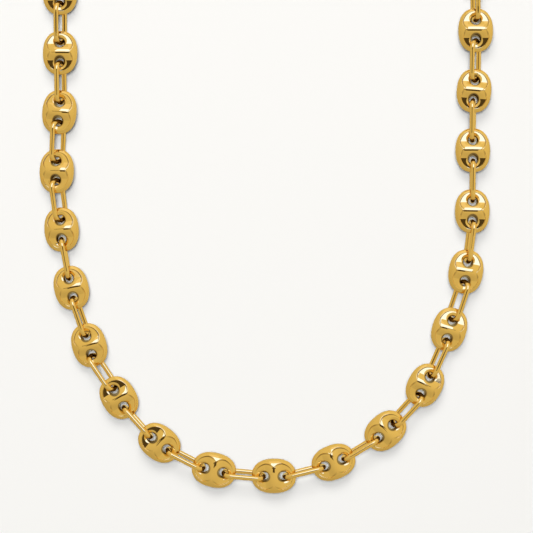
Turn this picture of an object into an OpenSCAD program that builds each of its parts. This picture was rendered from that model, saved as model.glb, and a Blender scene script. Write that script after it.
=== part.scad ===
// Link chain necklace: puffed oval links with a cross bar and two eyes, joined by long oval wire links,
// laid out flat as a closed loop. Millimetres, +Z up, and the surface that it lies on is z = 0.

/* [Puffed link] */
// Length of a puffed link, tip to tip
link_l = 10.4; // [10.0:0.1:10.8]
// Width of a puffed link
link_w = 8.15; // [7.8:0.05:8.4]
// Thickness in the middle, over the cross bar
link_t = 4.2; // [4.1:0.1:4.4]
// Roundness of the oval outline, 2 being an ellipse
oval_power = 2.3; // [2.0:0.1:2.6]
// Distance from the middle of the link to the middle of an eye
eye_offset = 2.2; // [2.15:0.05:2.25]
// Radius of the eye at its narrowest, half way through
eye_r = 1.1; // [1.1:0.01:1.15]
// Radius of the dished edge beside the eye
dish_r = 1.6; // [1.5:0.05:1.65]
// How much farther that edge reaches at the tip's side of the eye, and less far at the bar's side
dish_lean = 0.4; // [0.3:0.05:0.4]
// Width of the puffed border beside the hollowed ends
border_w = 0.9; // [0.8:0.05:1.0]
// Half thickness of the hollowed end where the cross bar runs out
floor_h = 1.1; // [1.0:0.05:1.15]
// Fall of the hollowed end towards the tip, in degrees
floor_fall = 10; // [8:1:12]

/* [Oval link] */
// Diameter of the wire
wire_d = 1.15; // [1.0:0.05:1.15]
// Length of an oval link between the wire's centres
oval_l = 9.4; // [9.2:0.1:9.6]
// Width of an oval link between the wire's centres
oval_w = 3.7; // [3.7:0.05:3.8]
// Distance from the middle of a puffed link to the point that an oval link is lined up on
grip_offset = 3.2; // [3.0:0.1:3.4]

/* [Clasp] */
// Radius of the claw's ring, to the middle of its wire
claw_r = 2.3; // [2.2:0.05:2.5]
// Diameter of the claw's wire
claw_wire_d = 1.6; // [1.4:0.1:1.6]
// Radius of the tail eye, to the middle of its wire
tail_r = 1.7; // [1.65:0.05:1.8]
// Diameter of the tail eye's wire
tail_wire_d = 1.1; // [0.9:0.1:1.1]

/* [Lay] */
// Distance between puffed links along the stretch at the back of the neck
back_pitch = 14.15; // [14.0:0.05:14.3]
// Radius of the arc at the back of the neck
back_r = 48.8; // [48.6:0.1:49.0]
// Height of that arc's centre above the middle of the front
back_y = 77.7; // [77.5:0.1:78.0]

/* [Hidden] */
links = 31;
back_links = 6;              // puffed links on each side of the clasp that lie past the front stretch

// Columns of a row that says how one puffed link lies: where its middle is, which way it points, how far its
// leading end is raised, how far it leans, and how steeply the oval link after it stands, 90 being upright
X = 0;
Y = 1;
HEADING = 2;
NOSE_UP = 3;
ROLL = 4;
STAND = 5;
front = [
    [-48.7,  50.3,  -90,  6,  1, 114],
    [-48.9,  36.4,  -95,  2,  5, 130],
    [-49.5,  22.5,  -91,  6,  7, 128],
    [-48.4,   8.8,  -86,  1,  5,  92],
    [-46.1,  -4.9,  -77,  1,  2, 107],
    [-41.9, -18.4,  -73,  0,  3, 122],
    [-34.9, -30.7,  -59, -6,  1,  95],
    [-25.4, -41.3,  -38, -6,  1, 107],
    [-12.6, -47.7,  -14,  0,  2, 108],
    [  1.5, -49.1,    1,  1,  2,  97],
    [ 15.5, -45.9,   22,  0,  3, 100],
    [ 27.7, -38.5,   41,  0,  3, 122],
    [ 37.0, -27.8,   61, -1,  3, 113],
    [ 42.7, -14.7,   73,  0,  5, 127],
    [ 46.6,  -1.1,   81, -2,  4, 103],
    [ 48.1,  13.1,   89, -6,  0,  90],
    [ 48.2,  27.4,   90, -6,  0,  80],
    [ 48.5,  41.4,   85, -6, -1,  62],
    [ 48.9,  55.6,   90, -5, -1, 105],
];

// The back stretch runs straight up from each end of the front and then round an arc.
function back_spot(side, k) =
    let (
        start = side > 0 ? front[len(front) - 1] : front[0],
        run = k * back_pitch,
        straight = back_y - start[Y],
        turn = (run - straight) / back_r * 180 / PI
    )
    turn < 0
        ? [start[X] + (side * back_r - start[X]) * run / straight, start[Y] + run, 90]
        : [side * back_r * cos(turn), back_y + back_r * sin(turn), 90 + side * turn];
function back_row(side, k) =
    let (s = back_spot(side, k), sway = (k % 2) * 2 - 1)
    [s[X], s[Y], side > 0 ? s[HEADING] : s[HEADING] - 180, 2 * sway, 2 * side * sway, 110 + 8 * sway];
lay = concat(
    [for (k = [back_links : -1 : 1]) back_row(-1, k)],
    front,
    [for (k = [1 : back_links]) back_row(1, k)]
);

// Outline and heights of a puffed link over its middle plane
half_l = link_l / 2;
half_w = link_w / 2;
crest_h = link_t / 2;
bar_l = 2.5;                 // half length of the cross bar's ridge
bar_flank = 1.95;            // where the bar's flank runs out on to the hollowed floor
bar_round = 0.8;             // how round the bar is on top
tip_border = 0.85;           // width of the border at the tip
step_w = 0.2;                // width of the step between hollow and border
shoulder = 0.92;             // place of the border's shoulder, as a share of the outline
tip_h = 0.69;                // half thickness that the puffed dome thins down to at the tip
thin_power = 2.2;            // how late it thins
dome_power = 3;              // how late it curves down to the outline
arc = 4;                     // steps in a quarter of the outline
ring = 2 * arc + 4;          // corners of an eye
hollow_l = half_l - tip_border;
hollow_w = half_w - border_w;
bar_drop = crest_h - floor_h;
bar_steep = bar_drop * (bar_drop + 2 * bar_round) / pow(bar_flank, 2);

function oval(a, b, t) = [a * pow(cos(t), 2 / oval_power), b * pow(sin(t), 2 / oval_power)];
function reach(p) =
    pow(pow(abs(p[0]) / half_l, oval_power) + pow(abs(p[1]) / half_w, oval_power), 1 / oval_power);
function puff(p) =
    (crest_h - (crest_h - tip_h) * pow(abs(p[0]) / half_l, thin_power))
        * pow(max(0, 1 - pow(reach(p), dome_power)), 1 / 2.2);
function hollow(u) = // the bar's round top and straightening flank, then the floor
    u < bar_flank
        ? crest_h + bar_round - sqrt(pow(bar_round, 2) + bar_steep * pow(u, 2))
        : floor_h - tan(floor_fall) * (u - bar_flank);

// Lines across one half of one face, each counted from -arc to arc, with both ends on the bar's ridge
hollow_corner = acos(pow(bar_flank / hollow_l, oval_power / 2));
function foot(i) = // edge of the hollow, at its floor
    let (p = oval(hollow_l, hollow_w, abs(i) / (arc - 1) * hollow_corner))
    abs(i) == arc ? [0, sign(i) * bar_l] : [p[0], sign(i) * p[1]];
function rim(i) = foot(i) * (1 + step_w / norm(foot(i)));
function edge(i) =
    let (p = oval(half_l, half_w, 90 * abs(i) / arc))
    abs(i) == arc ? [0, sign(i) * half_w] : [p[0], sign(i) * p[1]];
function round_eye(r, j) = [eye_offset + r * cos(360 * j / ring), r * sin(360 * j / ring)];
function dish(j) = round_eye(dish_r + dish_lean * cos(360 * j / ring), j);

// Corners of a puffed link: its outline, both eyes, and for each face (f) the bar's ridge and both halves (h)
outline = [for (j = [0 : 4 * arc - 1])
    let (q = floor(j / arc), p = edge(q % 2 == 0 ? j % arc : arc - j % arc))
    [q == 1 || q == 2 ? -p[0] : p[0], q > 1 ? -p[1] : p[1]]];
ridge_side = [shoulder * half_w, rim(arc)[1], bar_l, bar_l / 2];
ridge = concat(ridge_side, [0], [for (k = [3 : -1 : 0]) -ridge_side[k]]);
half_face = concat(
    [for (j = [0 : ring - 1]) let (p = dish(j)) [p, hollow(p[0])]],
    [for (i = [1 - arc : arc - 1]) [foot(i), hollow(foot(i)[0])]],
    [for (i = [1 - arc : arc - 1]) [rim(i), puff(rim(i))]],
    [for (i = [1 - arc : arc - 1]) [shoulder * edge(i), puff(shoulder * edge(i))]]
);
function turned(p, z, h, f) = [h == 0 ? p[0] : -p[0], p[1], f == 0 ? z : -z];
link_points = concat(
    [for (p = outline) [p[0], p[1], 0]],
    [for (h = [0, 1], j = [0 : ring - 1]) turned(round_eye(eye_r, j), 0, h, 0)],
    [for (f = [0, 1], v = ridge) turned([0, v], puff([0, v]), 0, f)],
    [for (f = [0, 1], h = [0, 1], c = half_face) turned(c[0], c[1], h, f)]
);

// Numbers of those corners
first_eye = len(outline);
first_ridge = first_eye + 2 * ring;
first_half = first_ridge + 2 * len(ridge);
function outline_at(h, i) = ((h == 0 ? i : 2 * arc - i) + len(outline)) % len(outline);
function eye_at(h, j) = first_eye + h * ring + j % ring;
function ridge_at(f, k) = first_ridge + f * len(ridge) + k;
function half_at(f, h, k) = first_half + (2 * f + h) * len(half_face) + k;
function dish_at(f, h, j) = half_at(f, h, j % ring);
function line_at(f, h, k, i) = // k: 0 the hollow's foot, 1 its rim, 2 the shoulder, 3 the outline
    k == 3 ? outline_at(h, i)
    : abs(i) == arc ? ridge_at(f, i > 0 ? 2 - k : len(ridge) - 3 + k)
    : half_at(f, h, ring + k * (2 * arc - 1) + i + arc - 1);
function hollow_at(f, h, j) = // right round the hollow: along its foot, then back along the bar's ridge
    let (k = j % ring)
    k <= arc ? line_at(f, h, 0, k)
    : k >= ring - arc ? line_at(f, h, 0, k - ring)
    : ridge_at(f, k - arc + 2);

function quad(a, b, c, d, flip) = flip ? [[a, c, b], [a, d, c]] : [[a, b, c], [a, c, d]];
link_faces = [
    for (f = [0, 1], h = [0, 1]) let (flip = f == h)
        each concat(
            [for (j = [0 : ring - 1])
                each quad(eye_at(h, j), dish_at(f, h, j), dish_at(f, h, j + 1), eye_at(h, j + 1), flip)],
            [for (j = [0 : ring - 1])
                each quad(dish_at(f, h, j), hollow_at(f, h, j), hollow_at(f, h, j + 1), dish_at(f, h, j + 1),
                    flip)],
            [for (k = [0 : 2], i = [-arc : arc - 1])
                each quad(line_at(f, h, k, i), line_at(f, h, k + 1, i), line_at(f, h, k + 1, i + 1),
                    line_at(f, h, k, i + 1), flip)]
        )
];

// Each link's middle is as high as it takes for its lowest corner to be on the surface, or for its lowered
// tip to be on the wire of the oval link that passes under it.
floor_gap = 0.01;            // least height of an oval link over the surface
under_gap = 0.05;            // play between such a wire and the tip over it
tip_from = 3.9;              // where the wire passes under the tip
function height_of(p, up, roll) = sin(up) * p[0] + cos(up) * (sin(roll) * p[1] + cos(roll) * p[2]);
function rest_z(row) = max(
    -min([for (p = link_points) height_of(p, row[NOSE_UP], row[ROLL])]),
    wire_d + floor_gap + under_gap + puff([tip_from, 0]) + abs(sin(row[NOSE_UP])) * tip_from
);
middles = [for (row = lay) [row[X], row[Y], rest_z(row)]];

// The loop is moved so that the middle of its outline is the origin.
function half_span(row, axis) =
    max([for (p = outline) p[0] * cos(row[HEADING] - axis) - p[1] * sin(row[HEADING] - axis)]);
function middle_of(column, axis) =
    (min([for (row = lay) row[column] - half_span(row, axis)])
        + max([for (row = lay) row[column] + half_span(row, axis)])) / 2;
to_origin = [-middle_of(X, 0), -middle_of(Y, 90), 0];

// Where an oval link is lined up on puffed link i, at its leading end (1) or its trailing end (-1)
function grip(i, end) =
    let (heading = lay[i][HEADING], up = lay[i][NOSE_UP])
    middles[i] + end * grip_offset * [cos(heading) * cos(up), sin(heading) * cos(up), sin(up)];

wire_r = wire_d / 2;
bend_r = oval_w / 2;
side_l = oval_l - oval_w;

// The clasp lies along the chord between the last puffed link and the first, and its length closes the loop.
clasp_lean = 20;             // how far the two oval links at the clasp lean from upright
end_bite = 0.75;             // how far those two reach past the points that they are lined up on
seat_gap = 0.1;              // play between the clasp and the wire that pulls on it
clasp_from = grip(links - 1, 1);
clasp_to = grip(0, -1);
chord = [clasp_to[0] - clasp_from[0], clasp_to[1] - clasp_from[1], 0];
along = chord / norm(chord);
clasp_reach = norm(chord) + 2 * end_bite - 2 * oval_l;
clasp_z = bend_r * cos(clasp_lean) + wire_r + floor_gap;
clasp_mid = [(clasp_from[0] + clasp_to[0]) / 2, (clasp_from[1] + clasp_to[1]) / 2, clasp_z];
claw_x = -clasp_reach / 2 + claw_r - (claw_wire_d + wire_d) / 2 - seat_gap;
tail_x = clasp_reach / 2 - tail_r + (tail_wire_d + wire_d) / 2 + seat_gap;
body_d = [2.4, 1.5];         // width of the clasp's body at the claw and at the tail
lever_d = 0.9;
lever_l = 1.4;
lever_turn = 130;            // place of the thumb lever round the claw, from the tail
thumb_d = 1.1;

module puffed_link(row, middle) {
    color("gold")
        translate(middle + to_origin)
            rotate([row[ROLL], -row[NOSE_UP], row[HEADING]])
                polyhedron(points = link_points, faces = link_faces, convexity = 6);
}

module oval_link() {
    for (s = [-1, 1]) {
        translate([-side_l / 2, s * bend_r, 0])
            rotate([0, 90, 0])
                cylinder(r = wire_r, h = side_l, $fn = 48);
        translate([s * side_l / 2, 0, 0])
            rotate([0, 0, -90 * s])
                rotate_extrude(angle = 180, $fn = 48) translate([bend_r, 0]) circle(r = wire_r, $fn = 48);
    }
}

// An oval link on the line from one point to another, raised where its lower side would meet the surface
module oval_link_between(a, b, stand) {
    d = b - a;
    slope = asin(d[2] / norm(d));
    low = bend_r * abs(sin(stand)) + side_l / 2 * abs(sin(slope)) + wire_r + floor_gap;
    mid = (a + b) / 2;
    translate([mid[0], mid[1], max(mid[2], low)] + to_origin)
        rotate([stand, -slope, atan2(d[1], d[0])])
            oval_link();
}

// All the oval links, each loose in the eyes of its neighbours
module oval_links() {
    color("goldenrod") {
        for (i = [0 : links - 2])
            oval_link_between(grip(i, 1), grip(i + 1, -1), lay[i][STAND]);
        for (side = [-1, 1])
            oval_link_between(
                side > 0 ? clasp_to : clasp_from,
                clasp_mid + side * (clasp_reach / 2 + end_bite) * along,
                90 + side * clasp_lean
            );
    }
}

module wire_ring(r, d) {
    rotate_extrude($fn = 64) translate([r, 0]) circle(d = d, $fn = 48);
}

// One plain piece: the claw's ring with the stub of its thumb lever, a tapered body, and the tail eye
module lobster_clasp() {
    body_from = claw_x + claw_r;
    body_l = tail_x - tail_r - body_from;
    color("gold")
        translate(clasp_mid + to_origin) rotate([0, 0, atan2(along[1], along[0])]) {
            translate([claw_x, 0, 0]) {
                wire_ring(claw_r, claw_wire_d);
                rotate([0, 90, lever_turn]) translate([0, 0, claw_r]) {
                    cylinder(d = lever_d, h = lever_l, $fn = 32);
                    translate([0, 0, lever_l]) sphere(d = thumb_d, $fn = 32);
                }
            }
            translate([body_from, 0, 0])
                rotate([0, 90, 0])
                    cylinder(d1 = body_d[0], d2 = body_d[1], h = body_l, $fn = 48);
            translate([tail_x, 0, 0]) wire_ring(tail_r, tail_wire_d);
        }
}

for (i = [0 : links - 1])
    puffed_link(lay[i], middles[i]);
oval_links();
lobster_clasp();
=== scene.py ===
import math
import bmesh
import bpy
import numpy as np
from mathutils import Matrix, Vector


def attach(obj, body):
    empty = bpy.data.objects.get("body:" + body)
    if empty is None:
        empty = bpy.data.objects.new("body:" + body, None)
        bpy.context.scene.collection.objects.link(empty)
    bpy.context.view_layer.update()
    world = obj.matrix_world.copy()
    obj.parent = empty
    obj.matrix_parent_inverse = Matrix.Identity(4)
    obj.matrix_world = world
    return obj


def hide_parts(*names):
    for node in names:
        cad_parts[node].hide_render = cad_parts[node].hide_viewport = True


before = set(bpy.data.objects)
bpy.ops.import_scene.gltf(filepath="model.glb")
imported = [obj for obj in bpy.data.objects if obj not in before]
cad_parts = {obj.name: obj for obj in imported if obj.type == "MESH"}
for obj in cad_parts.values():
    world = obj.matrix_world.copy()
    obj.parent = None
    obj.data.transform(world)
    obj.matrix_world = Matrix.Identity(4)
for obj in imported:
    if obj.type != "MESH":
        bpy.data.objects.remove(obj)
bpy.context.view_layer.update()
mm = 0.001
mergeReach = 0.0005    # corners of a piece this near, in millimetres, are one
sameSpot = 1e-6        # and so are those of a node this near, in metres

# The sweep is flat and pale, and the camera looks straight down on the front of the neck. Lengths are in
# millimetres from the middle of the picture, and the lamps and cards are placed by their lean from upright.
studio = {
    "pictureWidth": 125.26,      # what the picture takes in, left to right, at the middle of the links
    "cameraHeight": 600,
    "sensorWidth": 36,
    "clip": (50, 20000),
    "middle": (0.06, -37.72),    # the picture's middle in the frame
    "linkMiddle": 2.4,
    "floorSize": 6000,
    "floorTone": (0.90, 0.895, 0.885, 1),
    "floorRoughness": 0.9,
    "floorShine": 0.1,
    "tentTone": (1.0, 0.84, 0.42, 1),    # as the gold sees it
    "tentStrength": 0.72,
    "tentLean": (0.06, 0.15, 0.06),      # how much brighter it gets to the right, up the picture and overhead
    "beyond": (0.93, 0.925, 0.91, 1),    # as the camera sees it past the floor
    # lamps that light the floor: lean right, lean up the picture, distance, width, length, power, tone
    "lamps": {
        "overhead": (-2, 4, 1600, 460, 420, 17.9, (1.0, 1.0, 0.985)),
        "fill": (-5, 38, 1600, 900, 840, 12.8, (1.02, 1.0, 0.97)),
    },
    # cards that show only as reflections in the gold: the same, with a glow in place of the power
    "cards": {
        "slot": (0, 2.2, 612, 340, 226, 0.08, (1, 0.72, 0.32)),
        "slotEnds": (0, 8.8, 612, 660, 64, 0.1, (1, 0.72, 0.32)),
        "strip": (8, 32, 1200, 830, 720, 1.45, (0.97, 1.2, 2.0)),
        "stripEnd": (3, 65, 1200, 660, 660, 1.0, (1.02, 0.87, 0.55)),
    },
}


def floorMaterial(name):
    made = bpy.data.materials.new(name)
    made.use_nodes = True
    shader = made.node_tree.nodes["Principled BSDF"]
    shader.inputs["Base Color"].default_value = studio["floorTone"]
    shader.inputs["Roughness"].default_value = studio["floorRoughness"]
    shader.inputs["Specular IOR Level"].default_value = studio["floorShine"]
    return made


def glowMaterial(name, tone, strength):
    made = bpy.data.materials.new(name)
    made.use_nodes = True
    tree = made.node_tree
    tree.nodes.clear()
    glow = tree.nodes.new("ShaderNodeEmission")
    glow.inputs["Color"].default_value = tone
    glow.inputs["Strength"].default_value = strength
    end = tree.nodes.new("ShaderNodeOutputMaterial")
    tree.links.new(glow.outputs["Emission"], end.inputs["Surface"])
    return made


def inMetres(x, y, z):
    midX, midY = studio["middle"]
    return Vector((midX + x, midY + y, z)) * mm


def aim(thing, leanRight, leanUp, distance):
    # puts a thing where its leans say, facing the middle of the floor
    right, up = math.tan(math.radians(leanRight)), math.tan(math.radians(leanUp))
    thing.location = inMetres(*(Vector((right, up, 1)).normalized() * distance))
    thing.rotation_euler = (inMetres(0, 0, 0) - thing.location).to_track_quat("-Z", "Y").to_euler()


def makeCard(name, leanRight, leanUp, distance, width, length, glow, tone):
    bpy.ops.mesh.primitive_plane_add(size=mm)
    card = bpy.context.object
    card.name = name
    card.scale = (width, length, 1)
    aim(card, leanRight, leanUp, distance)
    card.data.materials.append(glowMaterial(name + "_glow", (*tone, 1), glow))
    card.visible_camera = False
    card.visible_diffuse = False
    card.visible_shadow = False


def makeLamp(name, leanRight, leanUp, distance, width, length, power, tone):
    lamp = bpy.data.lights.new(name, "AREA")
    lamp.shape = "RECTANGLE"
    lamp.size, lamp.size_y = width * mm, length * mm
    lamp.energy, lamp.color = power, tone
    placed = bpy.data.objects.new(name, lamp)
    bpy.context.scene.collection.objects.link(placed)
    aim(placed, leanRight, leanUp, distance)
    placed.visible_glossy = False


def makeFloor():
    bpy.ops.mesh.primitive_plane_add(size=studio["floorSize"] * mm, location=inMetres(0, 0, 0))
    floor = bpy.context.object
    floor.name = "floor"
    floor.data.materials.append(floorMaterial("pale_sweep"))
    floor.visible_glossy = False    # the gold sees the tent all round


def makeTent():
    # the gold sees a warm glow all round, and the camera sees a pale tone past the floor
    world = bpy.data.worlds.new("tent")
    bpy.context.scene.world = world
    world.use_nodes = True
    tree = world.node_tree
    back = tree.nodes["Background"]
    back.inputs["Color"].default_value = studio["tentTone"]
    direction = tree.nodes.new("ShaderNodeTexCoord")
    lean = tree.nodes.new("ShaderNodeVectorMath")
    lean.operation = "DOT_PRODUCT"
    lean.inputs[1].default_value = studio["tentLean"]
    tree.links.new(direction.outputs["Generated"], lean.inputs[0])
    strength = tree.nodes.new("ShaderNodeMath")
    strength.inputs[1].default_value = studio["tentStrength"]
    tree.links.new(lean.outputs["Value"], strength.inputs[0])
    tree.links.new(strength.outputs[0], back.inputs["Strength"])
    seen = tree.nodes.new("ShaderNodeBackground")
    seen.inputs["Color"].default_value = studio["beyond"]
    either = tree.nodes.new("ShaderNodeMixShader")
    rays = tree.nodes.new("ShaderNodeLightPath")
    tree.links.new(rays.outputs["Is Camera Ray"], either.inputs[0])
    tree.links.new(back.outputs[0], either.inputs[1])
    tree.links.new(seen.outputs[0], either.inputs[2])
    tree.links.new(either.outputs[0], tree.nodes["World Output"].inputs["Surface"])
    world.cycles_visibility.diffuse = False


def makeCamera():
    camera = bpy.data.cameras.new("camera")
    camera.sensor_width = studio["sensorWidth"]
    camera.lens = camera.sensor_width * studio["cameraHeight"] / studio["pictureWidth"]
    camera.clip_start, camera.clip_end = (reach * mm for reach in studio["clip"])
    eye = bpy.data.objects.new("camera", camera)
    bpy.context.scene.collection.objects.link(eye)
    eye.location = inMetres(0, 0, studio["cameraHeight"] + studio["linkMiddle"])
    bpy.context.scene.camera = eye
    bpy.context.scene.view_settings.view_transform = "Standard"


def makeStudio():
    makeFloor()
    for name, card in studio["cards"].items():
        makeCard(name, *card)
    for name, lamp in studio["lamps"].items():
        makeLamp(name, *lamp)
    makeTent()
    makeCamera()
    print("studio made")


# Polished yellow gold, with painted shade that darkens it in the recesses
gold = {
    "tone": (0.90, 0.67, 0.29, 1),
    "deepTone": (0.88, 0.63, 0.25, 1),
    # painted shade: the dark brown that the gold is mixed towards in its recesses
    "paintedShadeTone": (0.14, 0.09, 0.035, 1),
    "patches": {"Scale": 260, "Detail": 3},
    "polish": {"From Min": 0.3, "From Max": 0.7, "To Min": 0.0315, "To Max": 0.063},    # roughness of the patches
    "ripples": {"Scale": 900, "Detail": 2},
    "bump": {"Strength": 0.05, "Distance": 0.05 * mm},
}


def addNode(tree, kind, settings, links):
    made = tree.nodes.new(kind)
    if kind == "ShaderNodeMix":
        made.data_type = "RGBA"
    for socket, value in settings.items():
        made.inputs[socket].default_value = value
    for socket, source in links.items():
        tree.links.new(source, made.inputs[socket])
    return made


def goldMaterial(name):
    made = bpy.data.materials.new(name)
    made.use_nodes = True
    tree = made.node_tree
    place = tree.nodes.new("ShaderNodeTexCoord").outputs["Object"]
    # an attribute of the mesh says how much painted shade each corner gets
    painted_shade = tree.nodes.new("ShaderNodeAttribute")
    painted_shade.attribute_name = "painted_shade"
    patches = addNode(tree, "ShaderNodeTexNoise", gold["patches"], {"Vector": place}).outputs["Fac"]
    ripples = addNode(tree, "ShaderNodeTexNoise", gold["ripples"], {"Vector": place}).outputs["Fac"]
    tones = addNode(tree, "ShaderNodeMix", {"A": gold["tone"], "B": gold["deepTone"]}, {"Factor": patches})
    # painted shade: the gold's colour is mixed towards the dark brown by that attribute
    darkened = addNode(tree, "ShaderNodeMix", {"B": gold["paintedShadeTone"]},
                       {"Factor": painted_shade.outputs["Fac"], "A": tones.outputs["Result"]})
    polish = addNode(tree, "ShaderNodeMapRange", gold["polish"], {"Value": patches})
    bump = addNode(tree, "ShaderNodeBump", gold["bump"], {"Height": ripples})
    shader = tree.nodes["Principled BSDF"]
    shader.inputs["Metallic"].default_value = 1.0
    tree.links.new(darkened.outputs["Result"], shader.inputs["Base Color"])
    tree.links.new(polish.outputs["Result"], shader.inputs["Roughness"])
    tree.links.new(bump.outputs["Normal"], shader.inputs["Normal"])
    return made


# A puffed link, in millimetres about its own middle: x towards a tip, y across, z up through the eyes
puffed = {
    "halfLength": 5.2,
    "halfWidth": 4.075,
    "ovalPower": 2.3,
    "crestHeight": 2.1,
    "tipHeight": 0.69,
    "thinPower": 2.2,
    "domePower": 3.0,          # how late the puffed side curves down
    "domeRound": 2.2,          # how round it is at its edge
    "tipBlunt": 0.2,           # how much blunter that edge is at the tips
    "bluntFrom": 0.271,        # where on the dome the blunting changes nothing
    "tipBorder": 0.85,
    "sideBorder": 0.9,
    "stepWidth": 0.2,
    "flareWidth": 0.3,         # how much wider the step gets where the bar runs into the border
    "flarePower": 2.2,         # how late the edge of the hollow turns in there
    "flareTurn": 128,          # turn about the eye to the end of the bar's crest
    "crestHalf": 2.1,          # half length of the bar's crest
    "crestRadius": 1.85,
    "barFlank": 1.95,          # where the bar's flank meets the hollowed floor
    "floorHeight": 1.1,
    "floorFall": 10,
    "eyeAt": 2.2,
    "eyeRadius": 1.12,
    "eyeWaist": 0.9,           # radius half way through, seen as a dark ring, away from the wire's side
    "waistPower": 1.6,
    "wireSide": 1.4,           # how wide that side is
    # radius of the dish's lip at each turn about the eye, from the tip's side to the bar's
    "lipRadii": {0: 2.0, 45: 1.84, 60: 1.8, 75: 1.7, 90: 1.56, 100: 1.46, 115: 1.36, 140: 1.25, 180: 1.22},
    "cornerLip": 1.48,         # that radius where the bar's flank begins
    "lipDrop": 0.45,           # depth of the dish round an eye
    "bevelShare": 0.55,        # how much of the dish is a gentle bevel
    "bevelFall": 0.3,
    "bevelFrom": 0.6,          # share of the dish's rows that go round the edge of the eye
    "eyeShade": 0.38,          # how far the painted shade at the edge of an eye fades out
    "footFrom": 0.85,          # share of the floor's width at which the painted shade at the foot of the border begins
    "footReach": 0.72,         # share of the outline past which painted shade belongs to that foot
    "footShade": 1.5,          # how late that foot's painted shade fades out towards the tips
    # where the grid's columns lie along the edge of the hollow and the crest, as shares of each stretch
    "cornerColumns": (0, 0.07, 0.15, 0.24, 0.33, 0.42, 0.51, 0.6, 0.68, 0.76, 0.83, 0.89, 0.94, 0.98, 1),
    "flareColumns": (0.05, 0.12, 0.22, 0.35, 0.5, 0.65, 0.8, 0.9, 1),
    "crestColumns": (0.12, 0.25, 0.38, 0.52, 0.66, 0.83, 1),
    # and its rows, from the waist of the eye out to the outline
    "wallRows": (0, 0.25, 0.5, 0.75),
    "dishRows": (0, 0.1, 0.2, 0.3, 0.4, 0.5, 0.6, 0.68, 0.78, 0.88, 0.96, 1),
    "floorRows": (0.03, 0.08, 0.15, 0.24, 0.35, 0.47, 0.59, 0.7, 0.8, 0.88, 0.94, 0.98, 1),
    "stepRows": (0, 0.1, 0.25, 0.45, 0.65, 0.83, 1),
    "domeRows": 13,
}


def ovalPoint(halfLength, halfWidth, turn):
    power = 2 / puffed["ovalPower"]
    return halfLength * math.cos(turn) ** power, halfWidth * math.sin(turn) ** power


def reachOf(x, y):
    power = puffed["ovalPower"]
    return ((x / puffed["halfLength"]) ** power + (y / puffed["halfWidth"]) ** power) ** (1 / power)


def puffHeight(x, y):
    fall = (puffed["crestHeight"] - puffed["tipHeight"]) * (x / puffed["halfLength"]) ** puffed["thinPower"]
    left = max(0.0, 1 - reachOf(x, y) ** puffed["domePower"])
    blunt = puffed["tipBlunt"] * (x / puffed["halfLength"]) ** 4
    dome = left ** (1 / puffed["domeRound"] - blunt) * puffed["bluntFrom"] ** blunt
    return (puffed["crestHeight"] - fall) * dome


def hollowHeight(x, y):
    flank = puffed["barFlank"]
    if x >= flank:
        return puffed["floorHeight"] - math.tan(math.radians(puffed["floorFall"])) * (x - flank)
    # a round crest whose sides run straight down to the floor
    crest, radius = puffHeight(0, y), puffed["crestRadius"]
    left = radius - crest + puffed["floorHeight"]
    fall = math.atan2(flank, left) - math.acos(radius / math.hypot(left, flank))
    if x < radius * math.sin(fall):
        return crest - radius + math.sqrt(radius ** 2 - x ** 2)
    return puffed["floorHeight"] + math.tan(fall) * (flank - x)


def mixed(a, b, share):
    return a + (b - a) * share


def smoothShare(share):
    return share * share * (3 - 2 * share)


# painted shade: a dark ring round each eye, full at its edge and fading out away from it
def eyeShade(x, y):
    beyond = math.hypot(x - puffed["eyeAt"], y) - puffed["eyeRadius"]
    return 1 - smoothShare(min(1, max(0, beyond / puffed["eyeShade"])))


def lipRadius(turn):
    radii = puffed["lipRadii"]
    return float(np.interp(math.degrees(turn), list(radii), list(radii.values())))


def hollowSpokes():
    # lines out from the eye, from the tip round to the end of the bar's crest and then along the crest: the turn
    # about the eye, the point at the line's far end, and how far it is into the flare
    hollowLength = puffed["halfLength"] - puffed["tipBorder"]
    hollowWidth = puffed["halfWidth"] - puffed["sideBorder"]
    flank = puffed["barFlank"]
    cornerTurn = math.acos((flank / hollowLength) ** (puffed["ovalPower"] / 2))
    corner = ovalPoint(hollowLength, hollowWidth, cornerTurn)
    cornerSpoke = math.acos((flank - puffed["eyeAt"]) / puffed["cornerLip"])
    cornerLook = math.atan2(corner[1], corner[0] - puffed["eyeAt"])
    flareSpoke = math.radians(puffed["flareTurn"])
    edge, crest = [], []
    for share in puffed["cornerColumns"]:
        x, y = ovalPoint(hollowLength, hollowWidth, share * cornerTurn)
        look = math.atan2(y, x - puffed["eyeAt"])
        edge.append((look * cornerSpoke / cornerLook, x, y, 0.0))
    for share in puffed["flareColumns"]:
        x, y = mixed(flank, 0, share), mixed(corner[1], puffed["crestHalf"], share ** puffed["flarePower"])
        edge.append((mixed(cornerSpoke, flareSpoke, share), x, y, share))
    for share in puffed["crestColumns"]:
        crest.append((mixed(flareSpoke, math.pi, share), 0.0, mixed(puffed["crestHalf"], 0, share), 1.0))
    return edge, crest


def wallPoint(turn, share, top):
    # radius and height on the wall of the eye, from its waist up to the dish
    wireSide = min(1, max(0, puffed["wireSide"] * math.cos(turn)))
    narrowest = mixed(puffed["eyeWaist"], puffed["eyeRadius"], wireSide)
    return mixed(narrowest, puffed["eyeRadius"], share ** puffed["waistPower"]), (top - puffed["lipDrop"]) * share


def dishPoint(lip, share, top):
    # radius and height on the dish: round the edge of the eye, then up a gentle bevel to the lip
    reach, bevelFrom = lip - puffed["eyeRadius"], puffed["bevelFrom"]
    bevelRise = puffed["bevelFall"] * puffed["bevelShare"] * reach
    if share < bevelFrom:
        turn = share / bevelFrom * math.pi / 2
        radius = puffed["eyeRadius"] + reach * (1 - puffed["bevelShare"]) * (1 - math.cos(turn))
        return radius, mixed(top - puffed["lipDrop"], top - bevelRise, math.sin(turn))
    bevel = (share - bevelFrom) / (1 - bevelFrom)
    return puffed["eyeRadius"] + reach * (1 - puffed["bevelShare"] * (1 - bevel)), top - bevelRise * (1 - bevel)


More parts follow.
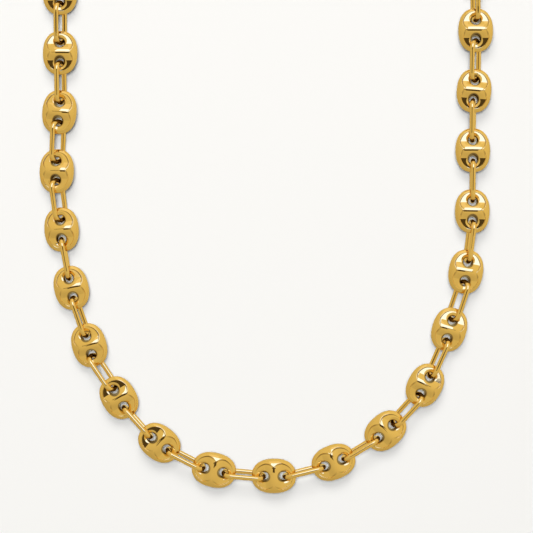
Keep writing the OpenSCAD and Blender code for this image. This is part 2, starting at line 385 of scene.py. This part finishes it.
def hollowPoint(spoke, row):
    # a corner between the waist of the eye and the edge of the hollow, and how much painted shade it gets
    turn, outX, outY, flare = spoke
    lip = lipRadius(turn)
    lipX, lipY = puffed["eyeAt"] + lip * math.cos(turn), lip * math.sin(turn)
    top = hollowHeight(lipX, lipY)
    wall, dish = puffed["wallRows"], puffed["dishRows"]
    if row < len(wall + dish):
        if row < len(wall):
            radius, z = wallPoint(turn, wall[row], top)
        else:
            radius, z = dishPoint(lip, dish[row - len(wall)], top)
        x, y = puffed["eyeAt"] + radius * math.cos(turn), radius * math.sin(turn)
        # the wall and the dish of an eye take its painted shade
        return Vector((x, y, z)), eyeShade(x, y)
    share = puffed["floorRows"][row - len(wall + dish)]
    x, y = mixed(lipX, outX, share), mixed(lipY, outY, share)
    # painted shade along the foot of the border, or round the eye, whichever is darker
    foot = max(0, share - puffed["footFrom"]) / (1 - puffed["footFrom"]) * (1 - min(1, flare))
    return Vector((x, y, hollowHeight(x, y))), max(foot, eyeShade(x, y))


def borderPoint(spoke, row):
    # a corner between the edge of the hollow and the outline, and how much painted shade it gets
    _, footX, footY, flare = spoke
    foot = reachOf(footX, footY)
    width = puffed["stepWidth"] + puffed["flareWidth"] * smoothShare(flare)
    rim = foot * (1 + width / math.hypot(footX, footY))
    step = puffed["stepRows"]
    if row < len(step):
        share = step[row]
        at = mixed(foot, rim, share)
        x, y = footX * at / foot, footY * at / foot
        z = mixed(hollowHeight(footX, footY), puffHeight(x, y), smoothShare(share))
        # painted shade at the foot of the step, none where the step flares into the bar
        return Vector((x, y, z)), (1 - smoothShare(share)) * (1 - min(1, flare))
    power, roundness = puffed["domePower"], puffed["domeRound"]
    start = math.acos((1 - rim ** power) ** (1 / roundness))
    share = (row - len(step) + 1) / puffed["domeRows"]
    at = (1 - math.cos(mixed(start, math.pi / 2, share)) ** roundness) ** (1 / power)
    x, y = footX * at / foot, footY * at / foot
    return Vector((x, y, puffHeight(x, y) if share < 1 else 0)), 0.0


def bend(bm, spokes, rows, shape):
    # a flat grid with a column for each spoke, laid out on a shape, which also gives each corner its painted shade
    painted_shade = bm.verts.layers.float.get("painted_shade") or bm.verts.layers.float.new("painted_shade")
    columns, rows = len(spokes) - 1, rows - 1
    made = bmesh.ops.create_grid(bm, x_segments=columns, y_segments=rows, size=1)["verts"]
    for v in made:
        v.co, v[painted_shade] = shape(spokes[round((v.co.x + 1) / 2 * columns)], round((v.co.y + 1) / 2 * rows))


def closedMesh(bm, name):
    bmesh.ops.remove_doubles(bm, verts=bm.verts, dist=mergeReach)
    bmesh.ops.recalc_face_normals(bm, faces=bm.faces)
    openEdges = sum(not edge.is_manifold for edge in bm.edges)
    print(f"{name}: {len(bm.faces)} faces, {openEdges} open edges")
    made = bpy.data.meshes.new(name)
    bm.to_mesh(made)
    bm.free()
    return made


def puffedTemplate():
    # an eighth of a link, mirrored three times
    edge, crest = hollowSpokes()
    bm = bmesh.new()
    bend(bm, edge + crest, len(puffed["wallRows"] + puffed["dishRows"] + puffed["floorRows"]), hollowPoint)
    bend(bm, edge, len(puffed["stepRows"]) + puffed["domeRows"], borderPoint)
    bmesh.ops.remove_doubles(bm, verts=bm.verts, dist=mergeReach)
    for axis in "XYZ":
        bmesh.ops.mirror(bm, geom=bm.verts[:] + bm.edges[:] + bm.faces[:], axis=axis, merge_dist=mergeReach)
    return closedMesh(bm, "puffed_link")


# An oval link of plain wire, in millimetres, lying along x
ovalWire = {
    "wireRadius": 0.575,
    "bendRadius": 1.85,
    "halfSide": 2.85,
    "roundSteps": 24,
    "bendSteps": 22,
    "sideSteps": 4,
}


def wireSection(bm, steps, radius, axis, place):
    # a circle across the wire, turned upright about an axis
    circle = bmesh.ops.create_circle(bm, segments=steps, radius=radius)["verts"]
    bmesh.ops.rotate(bm, verts=circle, matrix=Matrix.Rotation(math.pi / 2, 3, axis))
    bmesh.ops.translate(bm, verts=circle, vec=place)
    return circle, list({e for v in circle for e in v.link_edges})


def ovalTemplate():
    bm = bmesh.new()
    halfSide = ovalWire["halfSide"]
    _, edges = wireSection(bm, ovalWire["roundSteps"], ovalWire["wireRadius"], "Y",
                           (-halfSide, -ovalWire["bendRadius"], 0))
    for side in (1, -1):
        for _ in range(ovalWire["sideSteps"]):
            grown = bmesh.ops.extrude_edge_only(bm, edges=edges)["geom"]
            verts = [g for g in grown if isinstance(g, bmesh.types.BMVert)]
            edges = [g for g in grown if isinstance(g, bmesh.types.BMEdge)
                     and all(v in verts for v in g.verts)]
            bmesh.ops.translate(bm, verts=verts, vec=(side * 2 * halfSide / ovalWire["sideSteps"], 0, 0))
        verts = list({v for e in edges for v in e.verts})
        last = bmesh.ops.spin(bm, geom=verts + edges, cent=(side * halfSide, 0, 0), axis=(0, 0, 1),
                              angle=math.pi, steps=ovalWire["bendSteps"])["geom_last"]
        edges = [g for g in last if isinstance(g, bmesh.types.BMEdge)]
    return closedMesh(bm, "oval_link")


def placeFrom(corners, triangles):
    # the middle and the long, wide and thin directions of a closed symmetric shape
    spots = corners[triangles]
    areas = np.linalg.norm(np.cross(spots[:, 1] - spots[:, 0], spots[:, 2] - spots[:, 0]), axis=1)
    middles = spots.mean(axis=1)
    centre = (middles * areas[:, None]).sum(axis=0) / areas.sum()
    lean = ((middles - centre) * areas[:, None]).T @ (middles - centre)
    across = np.linalg.eigh(lean)[1]
    thin, long = Vector(across[:, 0]), Vector(across[:, 2])
    if thin.z < 0:
        thin = -thin
    wide = thin.cross(long)
    place = Matrix((long, wide, thin)).transposed().to_4x4()
    place.translation = Vector(centre)
    return place


def nodeArrays(node):
    mesh = node.data
    corners = np.empty(len(mesh.vertices) * 3)
    mesh.vertices.foreach_get("co", corners)
    mesh.calc_loop_triangles()
    triangles = np.empty(len(mesh.loop_triangles) * 3, dtype=int)
    mesh.loop_triangles.foreach_get("vertices", triangles)
    return corners.reshape(-1, 3), triangles.reshape(-1, 3)


def finishPiece(mesh, name, nodes, material):
    for polygon in mesh.polygons:
        polygon.use_smooth = True
    mesh.materials.append(material)
    piece = bpy.data.objects.new(name, mesh)
    piece.visible_diffuse = False    # no gold glow on the floor
    bpy.context.scene.collection.objects.link(piece)
    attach(piece, "root")
    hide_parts(*nodes)


def shadeFoot(mesh, template, place):
    # painted shade: the foot of the border is darkened along the side that faces the front of the neck, and the
    # darkening fades out round the tips
    up = place.to_3x3().inverted() @ Vector((0, 1, 0))
    painted_shade = mesh.attributes["painted_shade"].data
    for v in template.vertices:
        x, y = v.co.x / puffed["halfLength"], v.co.y / puffed["halfWidth"]
        if painted_shade[v.index].value > 0 and reachOf(abs(v.co.x), abs(v.co.y)) > puffed["footReach"]:
            away = Vector((x, y)).normalized()
            painted_shade[v.index].value *= min(1, max(0, puffed["footShade"] * away.dot(up.xy) * abs(away.y)))


def makePuffedLinks(material):
    template = puffedTemplate()
    names = sorted(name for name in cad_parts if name.startswith("puffed_link_"))
    for name in names:
        place = placeFrom(*nodeArrays(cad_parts[name]))
        mesh = template.copy()
        mesh.name = name.replace("puffed_link", "anchor")
        shadeFoot(mesh, template, place)
        mesh.transform(place @ Matrix.Scale(mm, 4))
        finishPiece(mesh, mesh.name, [name], material)
    print(len(names), "puffed links made")


def looseParts(corners, triangles):
    # corners at the same spot belong together, and so do triangles that share one
    _, same = np.unique(np.round(corners / sameSpot), axis=0, return_inverse=True)
    group = np.arange(same.max() + 1)
    linked = same.reshape(-1)[triangles]
    while True:
        low = group[linked].min(axis=1)
        fresh = group.copy()
        for side in range(3):
            np.minimum.at(fresh, linked[:, side], low)
        if (fresh == group).all():
            break
        group = fresh
    owner = group[linked[:, 0]]
    return [triangles[owner == part] for part in np.unique(owner)]


def makeOvalLinks(material):
    template = ovalTemplate()
    corners, triangles = nodeArrays(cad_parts["oval_links"])
    parts = looseParts(corners, triangles)
    bm = bmesh.new()
    for part in parts:
        place = placeFrom(corners, part)
        one = template.copy()
        one.transform(place @ Matrix.Scale(mm, 4))
        bm.from_mesh(one)
        bpy.data.meshes.remove(one)
    mesh = bpy.data.meshes.new("oval_wires")
    bm.to_mesh(mesh)
    bm.free()
    finishPiece(mesh, "oval_wires", ["oval_links"], material)
    print(len(parts), "oval links made")


# The lobster clasp, in millimetres: the middles of its claw and its tail eye in the frame, and then its own parts.
# A turned part has a pair for each step of its profile, the distance along it and the radius.
clasp = {
    "claw": (1.438, 87.1, 2.323),
    "tail": (-6.301, 86.68, 2.323),
    "clawRadius": 2.3,
    "clawWire": 0.8,
    "tailRadius": 1.7,
    "tailWire": 0.55,
    "wireSteps": 24,
    "ringSteps": 64,
    "turnedSteps": 40,
    "leverTurn": 130,
    "body": (
        (0.0, 0.0), (0.0, 0.9), (0.25, 1.12), (0.6, 1.2), (1.2, 1.13),
        (2.0, 0.98), (2.8, 0.84), (3.3, 0.76), (3.5, 0.62), (3.6, 0.0),
    ),
    "lever": (
        (0.0, 0.0), (0.0, 0.45), (0.7, 0.42), (1.0, 0.45), (1.12, 0.51),
        (1.3, 0.555), (1.5, 0.55), (1.7, 0.46), (1.86, 0.28), (1.94, 0.0),
    ),
}


def spinRound(bm, geom, centre, axis, steps):
    bmesh.ops.spin(bm, geom=geom, cent=centre, axis=axis, angle=2 * math.pi, steps=steps, use_merge=True)


def addRing(bm, atX, radius, wire):
    circle, edges = wireSection(bm, clasp["wireSteps"], wire, "X", (atX + radius, 0, 0))
    spinRound(bm, circle + edges, (atX, 0, 0), (0, 0, 1), clasp["ringSteps"])


def addTurned(bm, profile, start, turn):
    # spins a profile about its own length, then turns it and moves it to its start
    for v in bm.verts:
        v.tag = True
    verts = [bm.verts.new((x, radius, 0)) for x, radius in profile]
    edges = [bm.edges.new(pair) for pair in zip(verts, verts[1:])]
    spinRound(bm, verts + edges, (0, 0, 0), (1, 0, 0), clasp["turnedSteps"])
    made = [v for v in bm.verts if not v.tag]
    bmesh.ops.rotate(bm, verts=made, matrix=Matrix.Rotation(turn, 3, "Z"))
    bmesh.ops.translate(bm, verts=made, vec=start)


def makeClasp(material):
    claw, tail = Vector(clasp["claw"]), Vector(clasp["tail"])
    bm = bmesh.new()
    for profile, turn in ((clasp["body"], 0), (clasp["lever"], math.radians(clasp["leverTurn"]))):
        start = clasp["clawRadius"] * Vector((math.cos(turn), math.sin(turn), 0))
        addTurned(bm, profile, start, turn)
    addRing(bm, 0, clasp["clawRadius"], clasp["clawWire"])
    addRing(bm, (tail - claw).length, clasp["tailRadius"], clasp["tailWire"])
    mesh = closedMesh(bm, "clasp")
    along = (tail - claw).normalized()
    place = Matrix((along, Vector((0, 0, 1)).cross(along), (0, 0, 1))).transposed().to_4x4()
    place.translation = claw
    mesh.transform(Matrix.Scale(mm, 4) @ place)
    finishPiece(mesh, "clasp", ["lobster_clasp"], material)


makeStudio()
puffedGold = goldMaterial("puffed_gold_polish")
wireGold = goldMaterial("wire_gold_polish")
makePuffedLinks(puffedGold)
makeOvalLinks(wireGold)
makeClasp(wireGold)
